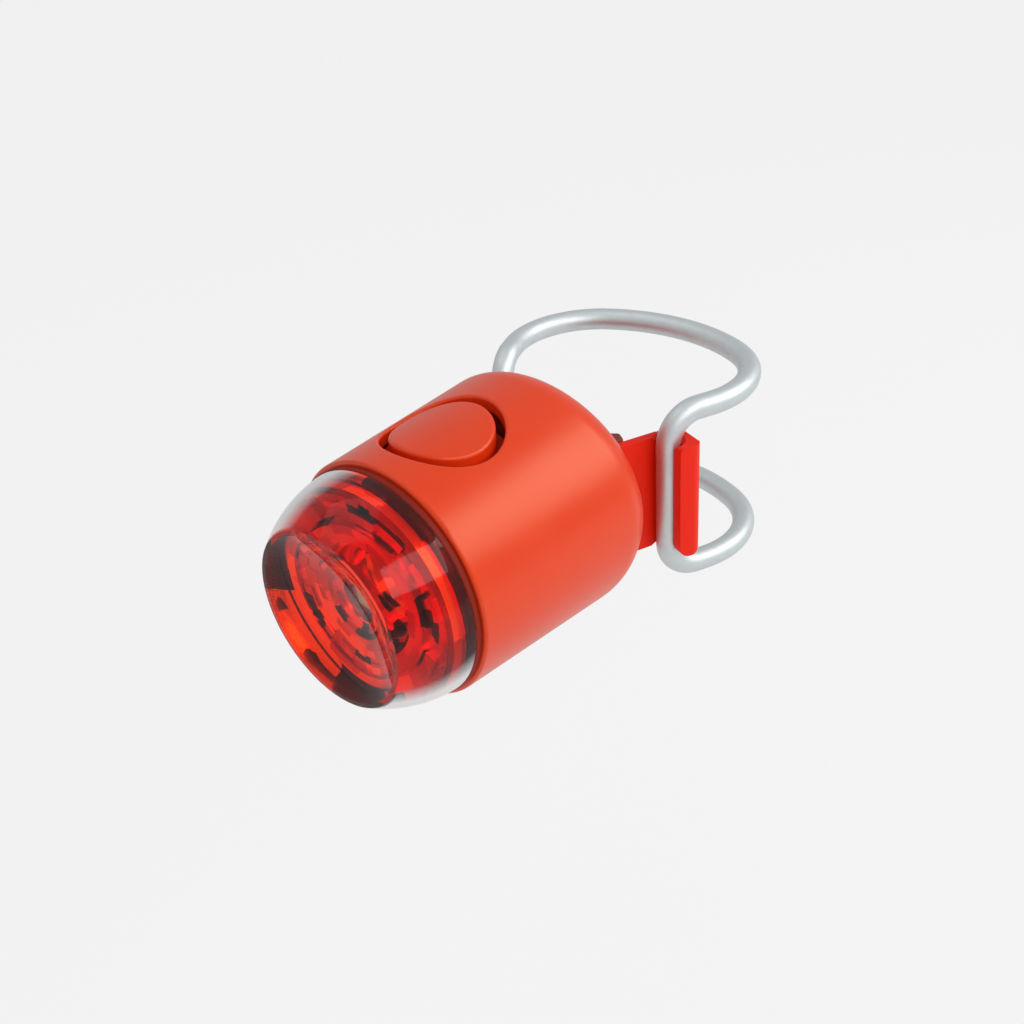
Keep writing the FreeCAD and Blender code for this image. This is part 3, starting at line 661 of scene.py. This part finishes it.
# The gasket's dark red-brown is the cover's red in painted shade, for the shaded joint between lens
# and cover
GASKET_IN_PAINTED_SHADE = Silicone("gasket rubber in painted shade", (0.24, 0.014, 0.005), (0.3, 0.024, 0.01), 0.6, gloss=0.2)
BLACK_RUBBER = Silicone("black rubber", (0.018, 0.018, 0.02), (0.05, 0.05, 0.05), 0.5)
FOAM_PAD = Silicone("foam pad", (0.03, 0.03, 0.032), (0.1, 0.1, 0.1), 0.85,
                    grain=Speckle(0.5, 2.0, 0.6), relief_mm=0.15)
LEAD_SLEEVE = Silicone("lead sleeve", (0.5, 0.015, 0.01), (0.55, 0.03, 0.02), 0.4)
CLEAR_LENS = ClearMoulding("clear lens", (1.0, 0.985, 0.985), axis_z=LAMP_AXIS_Z,
                           sheen=0.9, sheen_from_mm=11.5)
CLEAR_OPTIC = ClearMoulding("clear optic", (1.0, 0.95, 0.95))
# The red mirror's bright, deep and dark cells are a painted reflection, and its dark edge beyond
# 12.9 mm is painted shade
RED_MIRROR = FacetedMirror("red mirror", glancing=(1.0, 0.03, 0.0), bright=(1.0, 0.03, 0.0),
                           deep=(0.66, 0.008, 0.0), dark=(0.07, 0.002, 0.001), axis_z=LAMP_AXIS_Z,
                           painted_dark_share=0.14, rings_mm=((5.3, 6.8), (11.2, 12.4)), edge_mm=12.9)
WIRE_STEEL = Metal("wire steel", (0.68, 0.73, 0.74), (0.6, 0.65, 0.67), 0.5, Spread.UPRIGHT)
PLATED_STEEL = Metal("plated steel", (0.68, 0.68, 0.67), (0.5, 0.5, 0.5), 0.28)
# The housing's dark red-brown is painted shade: it copies the shaded red of the groove round the
# button
HOUSING_PLASTIC = HardPlastic("housing plastic", (0.2, 0.015, 0.008), (0.24, 0.03, 0.016))
DARK_PLASTIC = HardPlastic("dark plastic", (0.014, 0.014, 0.016), (0.06, 0.06, 0.065))
CHIP_PACKAGE = HardPlastic("chip package", (0.02, 0.02, 0.02), (0.05, 0.05, 0.05), 0.55)
NYLON = HardPlastic("connector nylon", (0.78, 0.76, 0.7), (0.6, 0.58, 0.52))
BOARD = CircuitBoard("board laminate")
LIGHT_BOARD = CircuitBoard("light board", (0.82, 0.82, 0.8), (0.74, 0.74, 0.72), (0.72, 0.66, 0.45))
CELL = CellFoil("cell foil")
PHOSPHOR = Phosphor("led face")

Finish = Union[Silicone, ClearMoulding, Metal, FacetedMirror, HardPlastic, CircuitBoard,
               CellFoil, Phosphor]


class Wardrobe:
    """Makes each finish's material once and dresses the CAD nodes."""

    def __init__(self) -> None:
        """Starts with nothing made."""
        self.made: dict[str, bpy.types.Material] = {}

    def material(self, finish: Finish) -> bpy.types.Material:
        """The material of a finish.

        Args:
            finish: the finish.

        Returns:
            Its material, made the first time it is asked for.
        """
        if finish.name not in self.made:
            self.made[finish.name] = finish.material()
        return self.made[finish.name]

    def dress(self, finish: Finish, *nodes: str) -> None:
        """Gives CAD nodes a finish.

        Args:
            finish: the finish.
            nodes: the names of the nodes.
        """
        for node in nodes:
            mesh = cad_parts[node].data
            mesh.materials.clear()
            mesh.materials.append(self.material(finish))
            LOG.info("%s: %s", node, finish.name)


def clear_selection() -> None:
    """Deselects every object."""
    bpy.ops.object.select_all(action="DESELECT")


def pick_faces(mesh: bpy.types.Mesh, wanted: Callable[[bmesh.types.BMFace], bool]) -> None:
    """Selects the faces that a test wants, in edit mode.

    Args:
        mesh: the mesh that is being edited.
        wanted: the test.
    """
    bpy.ops.mesh.select_mode(type="FACE")
    bpy.ops.mesh.select_all(action="DESELECT")
    edited = bmesh.from_edit_mesh(mesh)
    for face in edited.faces:
        face.select = wanted(face)
    bmesh.update_edit_mesh(mesh)


def pick_open_edges(mesh: bpy.types.Mesh, place_y: Optional[float] = None) -> None:
    """Selects the open edges of a mesh that is being edited.

    Args:
        mesh: the mesh.
        place_y: where they lie along the lamp, or None for all of them.
    """
    bpy.ops.mesh.select_mode(type="EDGE")
    bpy.ops.mesh.select_all(action="DESELECT")
    edited = bmesh.from_edit_mesh(mesh)
    for edge in edited.edges:
        here = place_y is None or abs(edge.verts[0].co.y - place_y) < SAME_PLACE
        edge.select = edge.is_boundary and here
    bmesh.update_edit_mesh(mesh)


def turned(name: str, profile: Profile, segments: int, axis_z: float) -> bpy.types.Object:
    """Turns a profile about the lamp's axis: a circle that is extruded from ring to ring.

    Args:
        name: the new object's name.
        profile: radius and place along the lamp of each ring; it may start and end on the axis.
        segments: how many sides a ring has.
        axis_z: the height of the lamp's axis.

    Returns:
        The closed piece in edit mode; a profile that doesn't end on the axis is closed into a ring.
    """
    rings = [point for point in profile if point[0] > 0]
    clear_selection()
    first_r, first_y = rings[0]
    bpy.ops.mesh.primitive_circle_add(vertices=segments, radius=first_r, fill_type="NOTHING",
                                      location=(0, first_y, axis_z), rotation=(math.pi / 2, 0, 0))
    made = bpy.context.object
    made.name = name
    bpy.ops.object.transform_apply(location=True, rotation=True, scale=True)
    bpy.ops.object.mode_set(mode="EDIT")
    bpy.ops.mesh.select_all(action="SELECT")
    for (radius, y), (next_radius, next_y) in zip(rings, rings[1:]):
        bpy.ops.mesh.extrude_edges_move(TRANSFORM_OT_translate={"value": (0, next_y - y, 0)})
        grow = next_radius / radius
        bpy.ops.transform.resize(value=(grow, 1, grow), center_override=(0, next_y, axis_z))
    if len(rings) == len(profile):
        pick_open_edges(made.data)
        bpy.ops.mesh.bridge_edge_loops()
    else:
        for ring, pole in ((rings[0], profile[0]), (rings[-1], profile[-1])):
            pick_open_edges(made.data, ring[1])
            step = (0, pole[1] - ring[1], 0)
            bpy.ops.mesh.extrude_edges_move(TRANSFORM_OT_translate={"value": step})
            bpy.ops.mesh.merge(type="CENTER")
    bpy.ops.mesh.select_all(action="SELECT")
    bpy.ops.mesh.normals_make_consistent(inside=False)
    return made


@dataclass(frozen=True)
class CoreFront:
    """The stepped front of the red core, which the back of the lens follows."""

    depth: float = 3.3 * MM
    throat_r: float = 3.6 * MM
    bowl_r: float = 5.7 * MM
    bowl_steps: int = 3
    step_land: float = 0.5 * MM
    inner_ring_r: float = 6.8 * MM
    groove_depth: float = 0.9 * MM
    groove_end_r: float = 11.3 * MM
    outer_ring_r: float = 12.3 * MM
    slant: float = 0.2 * MM
    flange_depth: float = 1.0 * MM
    flange_r: float = 14.3 * MM
    foot_depth: float = 1.6 * MM

    def rings(self, front_y: float, grow: float) -> Profile:
        """The front's rings from the throat outwards.

        Args:
            front_y: where its foremost plane is.
            grow: how far it is moved towards the lens.

        Returns:
            Radius and place of each ring.
        """
        spread = (self.bowl_r - self.throat_r) / self.bowl_steps
        rise = self.depth / self.bowl_steps
        found = [(self.throat_r - grow, front_y + self.depth - grow)]
        for step in range(1, self.bowl_steps + 1):
            radius = self.throat_r + spread * step - grow
            y = front_y + self.depth - rise * step - grow
            found += [(radius - self.step_land, y), (radius, y)]
        groove_y = front_y + self.groove_depth
        found[-1] = (self.inner_ring_r + grow, front_y - grow)
        return found + [
            (self.inner_ring_r + self.slant + grow, groove_y - grow),
            (self.groove_middle, groove_y - grow),
            (self.groove_end_r - self.slant - grow, groove_y - grow),
            (self.groove_end_r - grow, front_y - grow),
            (self.outer_ring_r + grow, front_y - grow),
            (self.outer_ring_r + self.slant + grow, front_y + self.flange_depth - grow),
            (self.flange_r + grow, front_y + self.flange_depth - grow),
            (self.flange_r + grow, front_y + self.foot_depth),
        ]

    @property
    def groove_middle(self) -> float:
        """The radius half way across the groove between the rings."""
        return (self.inner_ring_r + self.groove_end_r) / 2


@dataclass
class LampBody:
    """The cover, the solid lens with its gasket, the button and the flap."""

    wardrobe: Wardrobe
    core: CoreFront
    segments: int = 180
    steps: int = 12
    base_r: float = 14.83 * MM
    shoulder: tuple[float, float] = (13.8 * MM, 4.3 * MM)
    rim_r: float = 11.4 * MM
    rim_width: float = 0.6 * MM
    dish_depth: float = 2.9 * MM
    length: float = 8.7 * MM
    bond: float = 0.05 * MM
    sharp_deg: float = 24.0

    def build(self) -> None:
        """Models the lens, and dresses the lamp's outside and its housing."""
        lens = self.lens()
        lens.data.materials.append(self.wardrobe.material(CLEAR_LENS))
        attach(lens, Body.LAMP.value)
        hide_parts("front_lens")
        LOG.info("smooth lens: %d faces", len(lens.data.polygons))
        self.wardrobe.dress(COVER_SILICONE, "body_cover", "power_button", "usb_flap")
        # The gasket wears the cover's red in painted shade
        self.wardrobe.dress(GASKET_IN_PAINTED_SHADE, "lens_seal")
        # The housing's red-brown stands for the shaded groove round the button: painted shade
        self.wardrobe.dress(HOUSING_PLASTIC, "inner_housing")
        self.wardrobe.dress(DARK_PLASTIC, "button_plunger", "board_carrier")
        self.wardrobe.dress(BLACK_RUBBER, "plunger_seal")

    def side(self, front_y: float) -> Profile:
        """The lens's rounded side: an arc from the rim through the shoulder to the base.

        Args:
            front_y: where the rim is.

        Returns:
            Radius and place of each ring.
        """
        # The arc's circle goes through the rim a, the shoulder b and the base c
        a = Vector((self.rim_r, front_y))
        b = Vector((self.shoulder[0], front_y + self.shoulder[1]))
        c = Vector((self.base_r, front_y + self.length))
        ab, ac = b - a, c - a
        cross = 2 * (ab.x * ac.y - ab.y * ac.x)
        middle = a + Vector((ac.y * ab.length_squared - ab.y * ac.length_squared,
                             ab.x * ac.length_squared - ac.x * ab.length_squared)) / cross
        radius = (a - middle).length
        start = math.atan2(a.y - middle.y, a.x - middle.x)
        turn = math.atan2(c.y - middle.y, c.x - middle.x) - start
        angles = [start + turn * step / (2 * self.steps) for step in range(2 * self.steps + 1)]
        return [(middle.x + radius * math.cos(t), middle.y + radius * math.sin(t)) for t in angles]

    def dish(self, front_y: float) -> Profile:
        """The hollow front from the axis to the rim's inner edge.

        Args:
            front_y: where the rim is.

        Returns:
            Radius and place of each ring, the first one on the axis.
        """
        edge = self.rim_r - self.rim_width
        radius = (edge * edge + self.dish_depth ** 2) / (2 * self.dish_depth)
        centre_y = front_y + self.dish_depth - radius
        reach = math.asin(edge / radius)
        angles = [reach * step / self.steps for step in range(self.steps + 1)]
        return [(radius * math.sin(t), centre_y + radius * math.cos(t)) for t in angles]

    def lens(self) -> bpy.types.Object:
        """Models the lens as one turned solid whose back follows the core."""
        low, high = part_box("front_lens")
        core_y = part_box("reflector")[0].y
        back = self.core.rings(core_y, self.bond)[::-1]
        profile = self.dish(low.y) + self.side(low.y) + back + [(0.0, back[-1][1])]
        made = turned("smooth_lens", profile, self.segments, (low.z + high.z) / 2)
        bpy.ops.object.mode_set(mode="OBJECT")
        bpy.ops.object.shade_smooth_by_angle(angle=math.radians(self.sharp_deg))
        return made


@dataclass(frozen=True)
class Relief:
    """Blocks on one ring of the core, each a group: its first sector and how many it has."""

    low_r: float
    high_r: float
    height: float
    border: float
    groups: tuple[tuple[int, int], ...]


@dataclass
class LightEngine:
    """The red stepped core with its blocks, and the optic and the light chip in its throat."""

    wardrobe: Wardrobe
    core: CoreFront
    sectors: int = 60
    bond: float = 0.17 * MM
    skirt_r: float = 12.6 * MM
    skirt_end: float = 7.2 * MM
    skirt_wall: float = 1.0 * MM
    roof_depth: float = 2.1 * MM
    pocket_r: float = 8.0 * MM
    throat_wall: float = 1.4 * MM
    notch_lead: float = 1.3 * MM
    front_facing: float = 0.9
    sharp_deg: float = 30.0
    reliefs: tuple[Relief, ...] = (
        Relief(7.0 * MM, 9.0 * MM, 0.45 * MM, 0.12 * MM,
               ((0, 3), (7, 2), (13, 4), (22, 2), (27, 3), (35, 4), (44, 2), (51, 4))),
        Relief(9.0 * MM, 11.2 * MM, 0.3 * MM, 0.15 * MM,
               ((3, 2), (10, 4), (18, 3), (25, 2), (31, 4), (40, 3), (47, 3), (56, 2))),
        Relief(9.0 * MM, 11.2 * MM, 0.5 * MM, 0.2 * MM,
               ((6, 3), (15, 2), (22, 2), (36, 3), (51, 4))),
    )

    def build(self) -> None:
        """Makes the core and dresses the optic, the chip and its board."""
        core = self.red_core()
        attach(core, Body.LAMP.value)
        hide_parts("reflector")
        LOG.info("red core: %d faces", len(core.data.polygons))
        self.wardrobe.dress(CLEAR_OPTIC, "beam_optic")
        self.wardrobe.dress(PHOSPHOR, "main_led")
        self.wardrobe.dress(LIGHT_BOARD, "led_board")

    def red_core(self) -> bpy.types.Object:
        """Models the core, whose front lies just inside the lens.

        Returns:
            The core, with its place in its mesh.
        """
        low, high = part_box("reflector")
        axis_z = (low.z + high.z) / 2
        inner_r = self.skirt_r - self.skirt_wall
        end_y = low.y + self.skirt_end
        profile = self.core.rings(low.y, self.bond) + [
            (self.skirt_r, low.y + self.core.foot_depth),
            (self.skirt_r, end_y),
            (inner_r, end_y),
            (inner_r, low.y + self.roof_depth),
            (self.pocket_r, low.y + self.roof_depth),
            (self.core.throat_r + self.throat_wall, high.y),
            (self.core.throat_r, high.y),
            (self.core.throat_r, low.y + self.core.depth),
        ]
        made = turned("red_core", profile, self.sectors, axis_z)
        made.data.materials.append(self.wardrobe.material(RED_MIRROR))
        for relief in self.reliefs:
            self.raise_blocks(made, relief, axis_z)
        bpy.ops.object.mode_set(mode="OBJECT")
        self.cut_notch(made, axis_z)
        bpy.ops.object.shade_smooth_by_angle(angle=math.radians(self.sharp_deg))
        return made

    def raise_blocks(self, core: bpy.types.Object, relief: Relief, axis_z: float) -> None:
        """Raises one ring's blocks towards the lens.

        Args:
            core: the core, in edit mode.
            relief: where the blocks are and how high they stand.
            axis_z: the height of the lamp's axis.
        """
        wanted = {(first + step) % self.sectors
                  for first, count in relief.groups for step in range(count)}

        def in_block(face: bmesh.types.BMFace) -> bool:
            """Whether a face is the ground of one of the blocks."""
            middle = face.calc_center_median()
            radius = math.hypot(middle.x, middle.z - axis_z)
            turn = math.atan2(middle.z - axis_z, middle.x) / (2 * math.pi) % 1.0
            on_ring = relief.low_r < radius < relief.high_r and -face.normal.y > self.front_facing
            return on_ring and int(turn * self.sectors) in wanted

        pick_faces(core.data, in_block)
        bpy.ops.mesh.inset(thickness=relief.border, use_boundary=True)
        bpy.ops.mesh.extrude_region_move(TRANSFORM_OT_translate={"value": (0, -relief.height, 0)})

    def cut_notch(self, core: bpy.types.Object, axis_z: float) -> None:
        """Cuts the skirt away over the button's well.

        Args:
            core: the core, in object mode.
            axis_z: the height of the lamp's axis.
        """
        flat_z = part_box("led_board")[1].z
        size = self.skirt_r * 2
        start_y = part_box("power_button")[0].y - self.notch_lead
        clear_selection()
        middle = (0, start_y + size / 2, flat_z + size / 2)
        bpy.ops.mesh.primitive_cube_add(size=size, location=middle)
        cutter = bpy.context.object
        clear_selection()
        bpy.context.view_layer.objects.active = core
        core.select_set(True)
        cut = core.modifiers.new("notch", "BOOLEAN")
        cut.object = cutter
        bpy.ops.object.modifier_apply(modifier=cut.name)
        bpy.data.objects.remove(cutter)


@dataclass
class Electronics:
    """The boards, the battery and what stands on them."""

    wardrobe: Wardrobe

    def build(self) -> None:
        """Dresses the nodes inside the housing."""
        self.wardrobe.dress(BOARD, "main_board")
        self.wardrobe.dress(CHIP_PACKAGE, "driver_chips", "boost_inductor")
        self.wardrobe.dress(PHOSPHOR, "status_led")
        self.wardrobe.dress(NYLON, "link_connector", "switch_actuator")
        self.wardrobe.dress(PLATED_STEEL, "tact_switch", "usb_socket", "board_screws")
        self.wardrobe.dress(CELL, "battery_cell")
        self.wardrobe.dress(FOAM_PAD, "battery_foam")
        self.wardrobe.dress(LEAD_SLEEVE, "battery_leads")


@dataclass
class PostMount:
    """The saddle, the straps, the clamp plate and the wire bail."""

    wardrobe: Wardrobe

    def build(self) -> None:
        """Dresses what holds the lamp on the seat post."""
        self.wardrobe.dress(STRAP_SILICONE, "left_strap", "right_strap")
        self.wardrobe.dress(SADDLE_RUBBER, "rear_saddle")
        self.wardrobe.dress(DARK_PLASTIC, "rear_plate")
        self.wardrobe.dress(PLATED_STEEL, "rear_screws")
        self.wardrobe.dress(WIRE_STEEL, "wire_bail")


@dataclass(frozen=True)
class Softbox:
    """One rectangular area light."""

    name: str
    towards: Place
    distance: float
    size: tuple[float, float]
    power: float

    def build(self, aim: Vector) -> None:
        """Adds the light.

        Args:
            aim: the place that it shines at.
        """
        data = bpy.data.lights.new(self.name, "AREA")
        data.shape = "RECTANGLE"
        data.size, data.size_y = self.size
        data.energy = self.power
        lamp = bpy.data.objects.new(self.name, data)
        bpy.context.scene.collection.objects.link(lamp)
        direction = Vector(self.towards).normalized()
        lamp.location = aim + direction * self.distance
        lamp.rotation_mode = "QUATERNION"
        lamp.rotation_quaternion = direction.to_track_quat("Z", "Y")


@dataclass
class Studio:
    """The floor, the world, the soft lights and the camera."""

    floor_drop: float = 0.06
    floor_size: float = 6.0
    floor_glow: float = 0.92
    backdrop: Colour = (0.912, 0.912, 0.912)
    fill: float = 0.48
    mirrored: float = 0.32
    camera_azimuth: float = 43.81
    camera_elevation: float = 31.52
    camera_roll: float = -4.55
    camera_distance: float = 139.5 * MM
    sensor_mm: float = 36.0
    nearest: float = 5.0 * MM
    focal_px: float = 1180.8
    frame_px: float = 1024.0
    rim_px: tuple[float, float] = (389.5, 581.3)
    rim_centre: Place = (0.0, -44.9 * MM, LAMP_AXIS_Z)
    light_aim: Place = (0.0, -30.0 * MM, 0.0)
    softboxes: list[Softbox] = field(default_factory=lambda: [
        Softbox("side box", (0.786, -0.139, 0.602), 0.5, (0.46, 0.26), 0.85),
        Softbox("rear box", (0.59, 0.615, 0.525), 0.5, (0.3, 0.3), 0.8),
        Softbox("top box", (-0.35, -0.2, 0.9), 0.6, (0.45, 0.45), 0.3),
    ])

    def build(self) -> None:
        """Adds everything that isn't the light itself."""
        self.world()
        self.floor()
        for box in self.softboxes:
            box.build(Vector(self.light_aim))
        self.camera()
        bpy.context.scene.view_settings.view_transform = "Standard"

    def world(self) -> None:
        """A pale backdrop for the eye, for glass and for metal, and a dimmer fill for the rest."""
        world = bpy.data.worlds.new("studio")
        bpy.context.scene.world = world
        graph = Graph(world)
        fill = graph.node("ShaderNodeBackground", None,
                          {"Color": self.backdrop, "Strength": self.fill})
        pale = graph.node("ShaderNodeBackground", None, {"Color": self.backdrop})
        graph.close_mixed(Output.WORLD, graph.backdrop_share(self.mirrored), fill, pale)

    def floor(self) -> None:
        """A wide pale floor under the light, as pale as the backdrop, that keeps a soft shadow."""
        low, _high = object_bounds()
        clear_selection()
        bpy.ops.mesh.primitive_plane_add(size=self.floor_size,
                                         location=(0, 0, low.z - self.floor_drop))
        floor = bpy.context.object
        floor.name = "floor"
        floor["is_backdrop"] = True
        graph = Graph.named("studio floor")
        diffuse = graph.node("ShaderNodeBsdfDiffuse", None, {"Color": self.backdrop})
        glow = graph.node("ShaderNodeEmission", None, {"Color": self.backdrop})
        share = graph.backdrop_share(self.mirrored) * self.floor_glow
        graph.close_mixed(Output.MATERIAL, share, diffuse, glow)
        floor.data.materials.append(graph.owner)

    def camera(self) -> None:
        """The photograph's camera: its angle, its lens and where it puts the lens's rim."""
        azimuth, elevation = math.radians(self.camera_azimuth), math.radians(self.camera_elevation)
        roll = math.radians(self.camera_roll)
        flat = math.cos(elevation)
        back = Vector((math.sin(azimuth) * flat, -math.cos(azimuth) * flat, math.sin(elevation)))
        right = Vector((math.cos(azimuth), math.sin(azimuth), 0))
        up = back.cross(right)
        turned_right = right * math.cos(roll) + up * math.sin(roll)
        turned_up = up * math.cos(roll) - right * math.sin(roll)
        across = (self.rim_px[0] - self.frame_px / 2) / self.focal_px
        above = (self.frame_px / 2 - self.rim_px[1]) / self.focal_px
        away = back - turned_right * across - turned_up * above
        place = Vector(self.rim_centre) + away * self.camera_distance
        data = bpy.data.cameras.new("photo camera")
        data.sensor_width = self.sensor_mm
        data.lens = self.focal_px * self.sensor_mm / self.frame_px
        data.clip_start = self.nearest
        camera = bpy.data.objects.new("photo camera", data)
        bpy.context.scene.collection.objects.link(camera)
        turn = Matrix((turned_right, turned_up, back)).transposed()
        camera.matrix_world = Matrix.Translation(place) @ turn.to_4x4()
        bpy.context.scene.camera = camera


def main() -> None:
    """Builds each sub-assembly in order and reports it."""
    logging.basicConfig(level=logging.INFO, format="%(name)s: %(message)s")
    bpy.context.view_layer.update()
    wardrobe = Wardrobe()
    core = CoreFront()
    parts = (LampBody(wardrobe, core), LightEngine(wardrobe, core), Electronics(wardrobe),
             PostMount(wardrobe), Studio())
    for part in parts:
        part.build()
        LOG.info("built %s", type(part).__name__)


if __name__ == "__main__":
    main()
